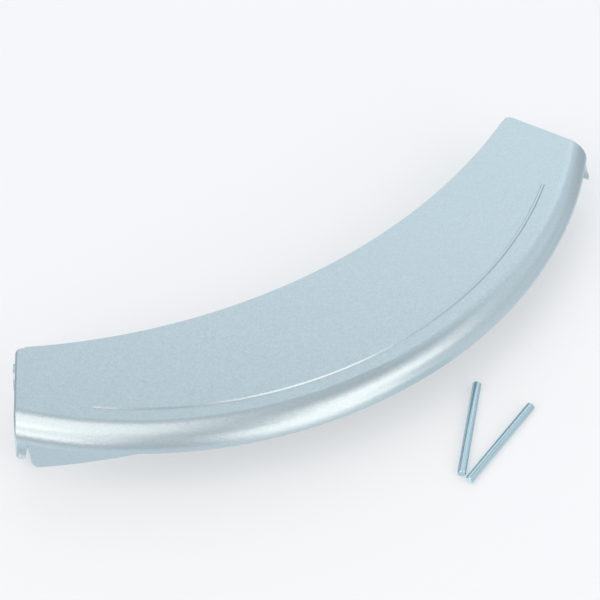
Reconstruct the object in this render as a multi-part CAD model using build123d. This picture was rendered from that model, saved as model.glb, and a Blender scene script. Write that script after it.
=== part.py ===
from build123d import *
from math import cos, degrees, radians, sin
import os

# Washing machine door handle with its two loose hinge pins.
# Millimetres and degrees. The origin is the middle of the hinge axis, X runs along that axis,
# -Y points at the grip edge and +Z out of the face. A "drop" is a depth below the face.

# Face plate in plan: a sector about the door's centre whose outer edge is the grip arc
inner_radius = 206.7
half_angle = 28.62
mid_width = 52.2
end_width = 32.0
plate_thickness = 2.6
inner_corner_radius = 2.2
edge_rounding = 0.9

# Rolled grip edge with a narrow set-back lip below it
roll_radius = 7.4
lip_height = 1.0
lip_setback = 0.25

# Raised line that follows the grip edge
line_inset = 12.2
line_width = 1.3
line_crown = 0.6
line_height = 0.55
line_half_angle = 38.0

# End walls: each leans outwards and tapers to its foot
end_wall_drop = 14.6
end_wall_foot = 3.1
end_wall_root = 5.0
end_wall_lean = 0.6
foot_flare = 1.7
foot_rounding = 1.0

# Back wall on the door's rim, which the handle lies on
back_wall_drop = 24.4
back_wall_thickness = 2.6
back_wall_inset = 0.95
back_wall_end_gap = 2.1
back_wall_end_taper = 1.4
back_wall_corner = 3.2
back_wall_rounding = 0.6

# Inner rim and radial stiffening ribs
rim_drop = 5.0
rim_thickness = 2.2
rib_thickness = 1.8
rib_spacing = 7.5
ribs_each_side = 3
gusset_drop = 14.0
gusset_reach = 7.0

# Latch tongue in the middle of the inner rim
tongue_width = 16.0
tongue_thickness = 3.0
tongue_drop = 15.0
tongue_rib_reach = 12.0

# Hinge: knuckles under both ends, bored for the pins
hinge_inset = 6.3
hinge_drop = 8.3
pin_diameter = 3.0
pin_clearance = 0.05
pin_length = 37.5
pin_chamfer = 0.3
knuckle_wall = 2.5
knuckle_length = 12.0
boss_diameter = 10.0
boss_proud = 0.65

# Loose pins on the table: the far end's place along X, its distance in front of the grip edge
# and the pin's turn from +X
left_pin_along = 30.3
left_pin_gap = 2.0
left_pin_turn = 46.4
right_pin_along = 40.0
right_pin_gap = 19.2
right_pin_turn = 20.7

# Overshoot of cutting bodies
beyond = 5.0

# Places that follow from the sizes above
hinge_radius = inner_radius + hinge_inset
door_y = hinge_radius * cos(radians(half_angle))
mid_radius = inner_radius + mid_width
end_radius = inner_radius + end_width
back_wall_radius = end_radius - back_wall_inset
face_z = hinge_drop
under_face_z = face_z - plate_thickness
root_z = face_z - plate_thickness / 2
lip_z = face_z - roll_radius - lip_height
end_wall_z = face_z - end_wall_drop
table_z = face_z - back_wall_drop
pin_radius = pin_diameter / 2
bore_radius = pin_radius + pin_clearance
knuckle_radius = bore_radius + knuckle_wall

# Grip arc: the circle through the end corners and the middle of the edge
end_x = end_radius * sin(radians(half_angle))
edge_depth = mid_radius - end_radius * cos(radians(half_angle))
grip_radius = (end_x**2 + edge_depth**2) / (2 * edge_depth)
grip_edge_y = door_y - mid_radius
grip_y = grip_edge_y + grip_radius


def door_point(radius, angle, z):
    """Place at a radius and angle about the door's centre. Angle 0 points at the grip."""
    turn = radians(angle)
    return (radius * sin(turn), door_y - radius * cos(turn), z)


def radial_plane(centre_y, angle):
    """Plane through a centre: local x leads outwards at the angle and local y is height."""
    turn = radians(angle)
    return Plane((0, centre_y, 0), x_dir=(sin(turn), -cos(turn), 0), z_dir=(-cos(turn), -sin(turn), 0))


def end_plane():
    """Plane across the right end: local x leads out of the handle and local y is height."""
    turn = radians(half_angle)
    return Plane((0, door_y, 0), x_dir=(cos(turn), sin(turn), 0), z_dir=(sin(turn), -cos(turn), 0))


def ring_sector(inner, outer, angle, bottom, top):
    """Curved block between two radii about the door's centre."""
    inner_arc = ThreePointArc(*[door_point(inner, turn, bottom) for turn in (-angle, 0, angle)])
    outer_arc = ThreePointArc(*[door_point(outer, turn, bottom) for turn in (-angle, 0, angle)])
    sides = [Line(inner_arc @ end, outer_arc @ end) for end in (0, 1)]
    return extrude(make_face([inner_arc, outer_arc, *sides]), top - bottom, dir=(0, 0, 1))


def both_ends(right):
    """A piece of the right end and its mirror image at the left end."""
    return right + mirror(right, about=Plane.YZ)


def grip_disc(radius, roll, top, bottom, flare=0):
    """Disc about the grip arc's axis with a rounded upper edge and a side that may flare out."""
    flat = Line((0, top), (radius - roll, top))
    round_edge = TangentArc(flat @ 1, (radius, top - roll), tangent=(1, 0))
    if flare:
        side = TangentArc(round_edge @ 1, (radius + flare, bottom), tangent=(0, -1))
    else:
        side = Line(round_edge @ 1, (radius, bottom))
    outline = [flat, round_edge, side, Line(side @ 1, (0, bottom)), Line((0, bottom), (0, top))]
    section = radial_plane(grip_y, 0) * make_face(outline)
    return revolve(section, axis=Axis((0, grip_y, 0), (0, 0, 1)))


def face_shell():
    """Face plate with the rolled edge and lip: a thin turned shell cut to the sector in plan."""
    outside = grip_disc(grip_radius, roll_radius, face_z, lip_z)
    inside = grip_disc(grip_radius - plate_thickness, roll_radius - plate_thickness, under_face_z, lip_z)
    setback = Cylinder(grip_radius + beyond, lip_height) - Cylinder(grip_radius - lip_setback, lip_height)
    plan = ring_sector(inner_radius, mid_radius + beyond, half_angle, lip_z, face_z)
    return (outside - inside - Pos(0, grip_y, lip_z + lip_height / 2) * setback) & plan


def end_slab(rounding):
    """Leaning slab across the right end that tapers to a rounded foot."""
    section = make_face(
        Polyline(
            (0, face_z),
            (end_wall_lean, end_wall_z),
            (end_wall_lean - end_wall_foot, end_wall_z),
            (-end_wall_root, face_z),
            close=True,
        )
    )
    if rounding:
        section = fillet(section.vertices().group_by(Axis.Y)[0], rounding)
    return extrude(end_plane() * section, mid_radius + beyond)


def end_wall():
    """Right end wall, rounded along the face, the roll and the front of its foot."""
    outwards = Axis((0, door_y, 0), end_plane().x_dir)
    wall = end_slab(0) & inside_edges()
    corner = wall.faces().sort_by(outwards)[-1].edges().sort_by_distance((0, door_y, 0))[0]
    wall = fillet(corner, inner_corner_radius)
    outline = wall.faces().sort_by(outwards)[-1].edges().sort_by_distance((0, door_y, 0))[1:]
    wall = fillet(outline.sort_by(Axis.Z)[1:], edge_rounding)
    return wall & end_slab(foot_rounding)


def inside_edges():
    """Room between the inner edge and the outer surface of the grip, down to the end walls' feet."""
    room = grip_disc(grip_radius, roll_radius, face_z, end_wall_z, foot_flare)
    hole = Cylinder(inner_radius, 2 * end_wall_drop + beyond)
    return room - Pos(0, door_y, end_wall_z) * hole


def back_wall():
    """Curved wall with slanted ends and rounded lower corners."""
    inside_radius = back_wall_radius - back_wall_thickness
    ring = ring_sector(inside_radius, back_wall_radius, half_angle, table_z, root_z)
    keep = make_face(
        Polyline(
            (-2 * end_x - beyond, face_z),
            (-back_wall_end_gap, face_z),
            (-back_wall_end_gap - back_wall_end_taper, table_z),
            (-2 * end_x - beyond, table_z),
            close=True,
        )
    )
    corner = keep.vertices().group_by(Axis.Y)[0].sort_by(Axis.X)[-1]
    right = extrude(end_plane() * fillet(corner, back_wall_corner), mid_radius)
    half_skin = plate_thickness / 2
    under_skin = grip_disc(grip_radius - half_skin, roll_radius - half_skin, root_z, table_z - beyond)
    wall = ring & right & mirror(right, about=Plane.YZ) & under_skin
    return fillet(wall.edges().group_by(Axis.Z)[0], back_wall_rounding)


def rib(angle):
    """Radial rib from the inner rim, deepened to a gusset at the back wall."""
    start = inner_radius + rim_thickness / 2
    end = back_wall_radius - back_wall_thickness / 2
    foot = back_wall_radius - back_wall_thickness
    outline = Polyline(
        (start, root_z),
        (start, face_z - rim_drop),
        (foot - gusset_reach, face_z - rim_drop),
        (foot, face_z - gusset_drop),
        (end, face_z - gusset_drop),
        (end, root_z),
        close=True,
    )
    return extrude(radial_plane(door_y, angle) * make_face(outline), rib_thickness / 2, both=True)


def latch_tongue():
    """Tongue in the middle of the inner rim that works the latch, with a rib behind it."""
    angle = degrees(tongue_width / 2 / inner_radius)
    back = inner_radius + tongue_thickness
    tongue = ring_sector(inner_radius, back, angle, face_z - tongue_drop, root_z)
    outline = Polyline(
        (back - tongue_thickness / 2, root_z),
        (back - tongue_thickness / 2, face_z - tongue_drop),
        (back, face_z - tongue_drop),
        (back + tongue_rib_reach, root_z),
        close=True,
    )
    return tongue + extrude(radial_plane(door_y, 0) * make_face(outline), rib_thickness / 2, both=True)


def hinge_end():
    """Place where the hinge axis leaves the right end wall at hinge height."""
    lean = end_wall_lean * hinge_drop / end_wall_drop
    return hinge_radius * sin(radians(half_angle)) + lean / cos(radians(half_angle))


def knuckle():
    """Right hinge knuckle: a barrel along the axis, hung from the face by a web."""
    start = Plane.YZ.offset(hinge_end() - knuckle_length)
    web_size = (2 * knuckle_radius, root_z)
    barrel = extrude(start * Circle(knuckle_radius), knuckle_length + beyond)
    web = extrude(start * Rectangle(*web_size, align=(Align.CENTER, Align.MIN)), knuckle_length + beyond)
    short_of_end = ring_sector(beyond, mid_radius, half_angle, -knuckle_radius, face_z)
    return (barrel + (web & inside_edges())) & short_of_end


def boss():
    """Round pad on the outside of the right end wall where the bore comes out."""
    turn = radians(half_angle)
    face = Plane((hinge_end(), 0, 0), x_dir=(0, 0, 1), z_dir=(cos(turn), sin(turn), 0))
    pad = face.offset(-end_wall_foot / 2) * Circle(boss_diameter / 2)
    return extrude(pad, end_wall_foot / 2 + boss_proud)


def raised_line():
    """Fine bead on the face, concentric with the grip edge."""
    radius = grip_radius - line_inset
    outline = Polyline(
        (radius - line_width / 2, root_z),
        (radius - line_width / 2, face_z),
        (radius - line_crown / 2, face_z + line_height),
        (radius + line_crown / 2, face_z + line_height),
        (radius + line_width / 2, face_z),
        (radius + line_width / 2, root_z),
        close=True,
    )
    section = radial_plane(grip_y, -line_half_angle) * make_face(outline)
    return revolve(section, Axis((0, grip_y, 0), (0, 0, 1)), 2 * line_half_angle)


def plate():
    """Face shell and inner rim, cut square just inside the rounded ends."""
    rim = ring_sector(inner_radius, inner_radius + rim_thickness, half_angle, face_z - rim_drop, face_z)
    inset = inner_corner_radius + edge_rounding
    end_block = Polyline((-inset, face_z), (beyond, face_z), (beyond, lip_z), (-inset, lip_z), close=True)
    end_cut = extrude(end_plane() * make_face(end_block), mid_radius + beyond)
    body = face_shell() + rim - both_ends(end_cut)
    inner_edge = body.edges().group_by(Axis.Z)[-1].sort_by_distance((0, door_y, face_z))[0]
    return fillet(inner_edge, edge_rounding)


def handle():
    """The whole moulding."""
    body = plate() + both_ends(end_wall())
    for side in (-1, 1):
        for step in range(ribs_each_side):
            body += rib(side * rib_spacing * (step + 1))
    body += back_wall()
    body += latch_tongue()
    body += both_ends(knuckle())
    body += both_ends(boss())
    body += raised_line()
    bore = Plane.YZ * Circle(bore_radius)
    return body - extrude(bore, end_x + beyond, both=True)


def hinge_pin(along, gap, turn):
    """Plain pin with broken edges, lying on the table in front of the grip edge."""
    pin = Cylinder(pin_radius, pin_length, rotation=(0, 90, 0), align=(Align.CENTER, Align.CENTER, Align.MAX))
    ends = pin.edges().filter_by(GeomType.CIRCLE)
    return Pos(along, grip_edge_y - gap, table_z + pin_radius) * Rot(0, 0, turn) * chamfer(ends, pin_chamfer)


nodes = {
    "handle": handle(),
    "hinge_pin_left": hinge_pin(left_pin_along, left_pin_gap, left_pin_turn),
    "hinge_pin_right": hinge_pin(right_pin_along, right_pin_gap, right_pin_turn),
}

os.makedirs("parts", exist_ok=True)
for name, shape in nodes.items():
    export_step(shape, f"parts/{name}.step")
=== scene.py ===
from math import atan2, cos, pi, radians, sin

import bpy
from mathutils import Matrix, Vector


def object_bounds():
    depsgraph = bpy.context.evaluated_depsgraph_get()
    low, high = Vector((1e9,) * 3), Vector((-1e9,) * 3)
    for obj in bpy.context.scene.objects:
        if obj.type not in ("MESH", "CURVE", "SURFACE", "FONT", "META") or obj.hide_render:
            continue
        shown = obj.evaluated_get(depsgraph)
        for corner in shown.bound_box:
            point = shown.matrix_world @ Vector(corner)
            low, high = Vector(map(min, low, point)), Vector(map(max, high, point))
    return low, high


# Looks of a washing machine door handle with two loose hinge pins. Metres and degrees.
# The frame has its origin on the hinge axis, -Y towards the grip edge and +Z out of the face.

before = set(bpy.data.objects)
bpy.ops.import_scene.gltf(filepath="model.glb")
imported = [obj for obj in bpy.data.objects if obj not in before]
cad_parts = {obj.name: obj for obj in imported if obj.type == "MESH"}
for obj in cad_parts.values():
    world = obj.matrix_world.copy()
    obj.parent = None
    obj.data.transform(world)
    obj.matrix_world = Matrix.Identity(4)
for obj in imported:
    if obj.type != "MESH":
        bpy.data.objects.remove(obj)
cad_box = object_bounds()
TABLE_Z = cad_box[0].z

# Camera: it stands in front of the left end and looks down on the face. Lens and sensor are in millimetres
CAMERA_TURN = -32.66
CAMERA_RISE = 50.12
CAMERA_AIM = Vector((-0.01024, -0.02741, 0.0083))
CAMERA_DISTANCE = 0.664
CAMERA_NEAR = 0.01
CAMERA_LENS = 120.27
SENSOR_WIDTH = 36.0

# Light: brightness of the room, a cool and a warm white, and a panel's watts for each square metre
ROOM_LIGHT = 0.55
COOL_WHITE = (0.94, 1.0, 1.06)
WARM_WHITE = (1.13, 0.98, 0.91)
PANEL_WATTS = pi

# Floor: half its width, its finish and the light that it gives off
FLOOR_REACH = 6.0
FLOOR_TONE = (0.565, 0.58, 0.59)
FLOOR_ROUGHNESS = 0.5
FLOOR_GLOW = 0.36
GLOW_TONE = (1.0, 1.0, 1.0)

# Noise: layers in every pattern, and how strong the finer ones are
NOISE_LAYERS = 3.0
NOISE_ROUGHNESS = 0.5

# Paint: flakes, mottle and the moulding's grain, as repeats in a metre, and what each of them does
FLAKES = 2600.0
FLAKE_TILT = 0.05
FLAKE_MIDDLE = (0.5, 0.5, 0.5)
MOTTLE = 1400.0
MOTTLE_ROUGHNESS = 0.6
MOTTLE_LIMITS = (0.25, 0.75)
GRAIN = 700.0
GRAIN_BUMP = 0.08
GRAIN_DEPTH = 0.0002
PAINT_METAL = 0.95
PAINT_TONES = ((0.527, 0.626, 0.657), (0.603, 0.704, 0.734))
PAINT_ROUGHNESS = (0.29, 0.35)

# Steel: streaks across a pin and along it, as repeats in a metre, and what they do
STREAKS_ACROSS = 5200.0
STREAKS_ALONG = 45.0
STREAK_LIMITS = (0.3, 0.7)
STREAK_BUMP = 0.15
STREAK_DEPTH = 0.0001
STEEL_METAL = 1.0
STEEL_TONES = ((0.45, 0.60, 0.65), (0.64, 0.81, 0.85))
STEEL_ROUGHNESS = (0.16, 0.30)


def add(tree, kind, links=None, **settings):
    """New node with its settings. Links give an input a value or another node's output."""
    node = tree.nodes.new(kind)
    for name, value in settings.items():
        setattr(node, name, value)
    for name, value in (links or {}).items():
        if isinstance(value, bpy.types.NodeSocket):
            tree.links.new(value, node.inputs[name])
        else:
            node.inputs[name].default_value = value
    return node


def new_material(name, **values):
    """Material with a shader and an output. Values are the shader's constants, with _ for a space."""
    material = bpy.data.materials.new(name)
    material.use_nodes = True
    tree = material.node_tree
    tree.nodes.clear()
    constants = {key.replace("_", " "): value for key, value in values.items()}
    shader = add(tree, "ShaderNodeBsdfPrincipled", constants)
    add(tree, "ShaderNodeOutputMaterial", {"Surface": shader.outputs["BSDF"]})
    return material, tree, shader


def noise(tree, place, scale=1.0, roughness=NOISE_ROUGHNESS):
    """Soft noise, as a factor."""
    links = {"Vector": place, "Scale": scale, "Detail": NOISE_LAYERS, "Roughness": roughness}
    return add(tree, "ShaderNodeTexNoise", links).outputs["Fac"]


def bump(tree, height, strength, depth):
    """Normal of a surface that a pattern raises."""
    links = {"Height": height, "Strength": strength, "Distance": depth}
    return add(tree, "ShaderNodeBump", links).outputs["Normal"]


def vector_math(tree, operation, *values):
    """Result of one operation on vectors."""
    node = add(tree, "ShaderNodeVectorMath", dict(enumerate(values)), operation=operation)
    return node.outputs["Vector"]


def ramp(tree, factor, tones, limits):
    """Colour that goes from the first tone to the second as a factor goes between its limits."""
    node = add(tree, "ShaderNodeValToRGB", {"Fac": factor})
    for element, tone, limit in zip(node.color_ramp.elements, tones, limits):
        element.position = limit
        element.color = (*tone, 1.0)
    return node.outputs["Color"]


def spread(tree, factor, values, limits=(0.0, 1.0)):
    """Number that goes from the first value to the second as a factor goes between its limits."""
    ends = {"From Min": limits[0], "From Max": limits[1], "To Min": values[0], "To Max": values[1]}
    return add(tree, "ShaderNodeMapRange", {"Value": factor, **ends}).outputs["Result"]


def set_surface(tree, shader, colour, roughness, normal):
    """Joins a surface's patterns to its shader."""
    tree.links.new(colour, shader.inputs["Base Color"])
    tree.links.new(roughness, shader.inputs["Roughness"])
    tree.links.new(normal, shader.inputs["Normal"])


def silver_paint():
    """Satin metallic paint on a moulding: small tilted flakes, a faint mottle and a fine grain."""
    material, tree, shader = new_material("satin_silver_paint", Metallic=PAINT_METAL)
    place = add(tree, "ShaderNodeTexCoord").outputs["Object"]
    flakes = add(tree, "ShaderNodeTexVoronoi", {"Vector": place, "Scale": FLAKES})
    mottle = noise(tree, place, MOTTLE, MOTTLE_ROUGHNESS)
    skin = bump(tree, noise(tree, place, GRAIN), GRAIN_BUMP, GRAIN_DEPTH)
    lean = vector_math(tree, "SUBTRACT", flakes.outputs["Color"], FLAKE_MIDDLE)
    tilted = vector_math(tree, "MULTIPLY_ADD", lean, (FLAKE_TILT, FLAKE_TILT, FLAKE_TILT), skin)
    normal = vector_math(tree, "NORMALIZE", tilted)
    colour = ramp(tree, mottle, PAINT_TONES, MOTTLE_LIMITS)
    roughness = spread(tree, flakes.outputs["Distance"], PAINT_ROUGHNESS)
    set_surface(tree, shader, colour, roughness, normal)
    return material


def axis_turn(node):
    """Angle of a pin's axis from X, from its middle towards its far end."""
    points = [vertex.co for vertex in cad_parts[node].data.vertices]
    middle = sum(points, Vector()) / len(points)
    far_end = [point - middle for point in points if point.x > middle.x]
    reach = sum(far_end, Vector())
    return atan2(reach.y, reach.x)


def drawn_steel(name, turn):
    """Zinc plated steel with fine streaks drawn along its axis."""
    material, tree, shader = new_material(name, Metallic=STEEL_METAL)
    place = add(tree, "ShaderNodeTexCoord").outputs["Object"]
    along = add(tree, "ShaderNodeVectorRotate", {"Vector": place, "Angle": -turn}, rotation_type="Z_AXIS")
    repeats = (STREAKS_ALONG, STREAKS_ACROSS, STREAKS_ACROSS)
    streaks = noise(tree, vector_math(tree, "MULTIPLY", along.outputs["Vector"], repeats))
    colour = ramp(tree, streaks, STEEL_TONES, STREAK_LIMITS)
    roughness = spread(tree, streaks, STEEL_ROUGHNESS, STREAK_LIMITS)
    normal = bump(tree, streaks, STREAK_BUMP, STREAK_DEPTH)
    set_surface(tree, shader, colour, roughness, normal)
    return material


def dress(node, material):
    """Puts a material on a solid of the frame."""
    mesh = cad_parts[node].data
    mesh.materials.clear()
    mesh.materials.append(material)


def camera():
    """Camera at the photograph's place."""
    turn, rise = radians(CAMERA_TURN), radians(CAMERA_RISE)
    back = Vector((sin(turn) * cos(rise), -cos(turn) * cos(rise), sin(rise)))
    data = bpy.data.cameras.new("camera")
    data.lens = CAMERA_LENS
    data.sensor_width = SENSOR_WIDTH
    data.clip_start = CAMERA_NEAR
    view = bpy.data.objects.new("camera", data)
    view.location = CAMERA_AIM + back * CAMERA_DISTANCE
    view.rotation_mode = "QUATERNION"
    view.rotation_quaternion = back.to_track_quat("Z", "Y")
    bpy.context.collection.objects.link(view)
    bpy.context.scene.camera = view


def floor():
    """Plain pale floor under the part. Reflections pass it and show the panels under its level."""
    mesh = bpy.data.meshes.new("floor")
    signs = ((-1, -1), (1, -1), (1, 1), (-1, 1))
    corners = [(x * FLOOR_REACH, y * FLOOR_REACH, TABLE_Z) for x, y in signs]
    mesh.from_pydata(corners, [], [(0, 1, 2, 3)])
    plane = bpy.data.objects.new("floor", mesh)
    material = new_material("pale_floor", Base_Color=(*FLOOR_TONE, 1.0), Roughness=FLOOR_ROUGHNESS,
                            Emission_Color=(*GLOW_TONE, 1.0), Emission_Strength=FLOOR_GLOW)[0]
    mesh.materials.append(material)
    bpy.context.collection.objects.link(plane)
    plane.visible_glossy = False
    plane.visible_shadow = False


def softbox(name, centre, aim, width, height, strength, tint):
    """Area light that points at a place. Both places are as the camera sees them: right, away and up."""
    to_frame = Matrix.Rotation(radians(CAMERA_TURN), 3, "Z")
    data = bpy.data.lights.new(name, "AREA")
    data.shape = "RECTANGLE"
    data.size = width
    data.size_y = height
    data.energy = strength * width * height * PANEL_WATTS
    data.color = tint
    lamp = bpy.data.objects.new(name, data)
    lamp.location = to_frame @ Vector(centre)
    lamp.rotation_mode = "QUATERNION"
    lamp.rotation_quaternion = (to_frame @ (Vector(centre) - Vector(aim))).to_track_quat("Z", "Y")
    lamp.visible_camera = False
    bpy.context.collection.objects.link(lamp)


def studio():
    """Dim room with soft panels round the part, over it and under the level of the floor."""
    world = bpy.data.worlds.new("studio")
    world.use_nodes = True
    background = world.node_tree.nodes["Background"]
    background.inputs["Color"].default_value = (*COOL_WHITE, 1.0)
    background.inputs["Strength"].default_value = ROOM_LIGHT
    bpy.context.scene.world = world
    softbox("overhead_panel", (-0.46, -0.37, 0.99), (0.0, -0.37, 0.0), 1.20, 1.02, 0.92, WARM_WHITE)
    softbox("left_panel", (-0.60, -1.04, 0.80), (0.0, 0.0, 0.80), 0.92, 1.00, 0.80, WARM_WHITE)
    softbox("left_low_panel", (-0.66, -1.03, 0.05), (0.0, 0.0, 0.05), 0.76, 0.50, 1.22, WARM_WHITE)
    softbox("front_low_panel", (0.66, -1.00, 0.10), (0.0, 0.0, 0.10), 0.88, 0.80, 1.04, WARM_WHITE)
    softbox("front_panel", (0.77, -0.65, 0.66), (0.0, 0.0, 0.0), 0.80, 0.56, 0.97, WARM_WHITE)
    softbox("front_high_panel", (0.70, -0.36, 0.90), (0.0, 0.0, 0.0), 0.80, 0.55, 0.47, WARM_WHITE)
    softbox("right_panel", (0.80, 0.46, 0.77), (0.0, 0.0, 0.0), 0.90, 0.80, 0.27, COOL_WHITE)
    softbox("right_low_panel", (1.20, -0.04, 0.37), (0.0, 0.0, 0.37), 1.30, 0.74, 0.20, COOL_WHITE)
    softbox("back_panel", (0.08, 0.92, 0.77), (0.0, 0.0, 0.0), 1.30, 0.80, 0.52, COOL_WHITE)
    softbox("back_low_panel", (0.31, 1.16, 0.25), (0.0, 0.0, 0.25), 1.50, 0.50, 0.47, COOL_WHITE)
    softbox("under_panel", (0.0, 0.0, -1.0), (0.0, 0.0, 0.0), 3.20, 3.20, 0.28, COOL_WHITE)
    softbox("front_under_panel", (0.57, -0.92, -0.44), (0.0, 0.0, 0.0), 0.55, 0.45, 0.68, WARM_WHITE)
    softbox("right_under_panel", (1.15, -0.20, -0.29), (0.0, 0.0, 0.0), 1.50, 0.50, 0.26, COOL_WHITE)
    softbox("left_under_panel", (-0.75, -0.20, -0.80), (0.0, 0.0, 0.0), 1.00, 0.90, 0.30, COOL_WHITE)
    bpy.context.scene.view_settings.view_transform = "Standard"


camera()
floor()
studio()
dress("handle", silver_paint())
for pin in ("hinge_pin_left", "hinge_pin_right"):
    dress(pin, drawn_steel(pin + "_steel", axis_turn(pin)))
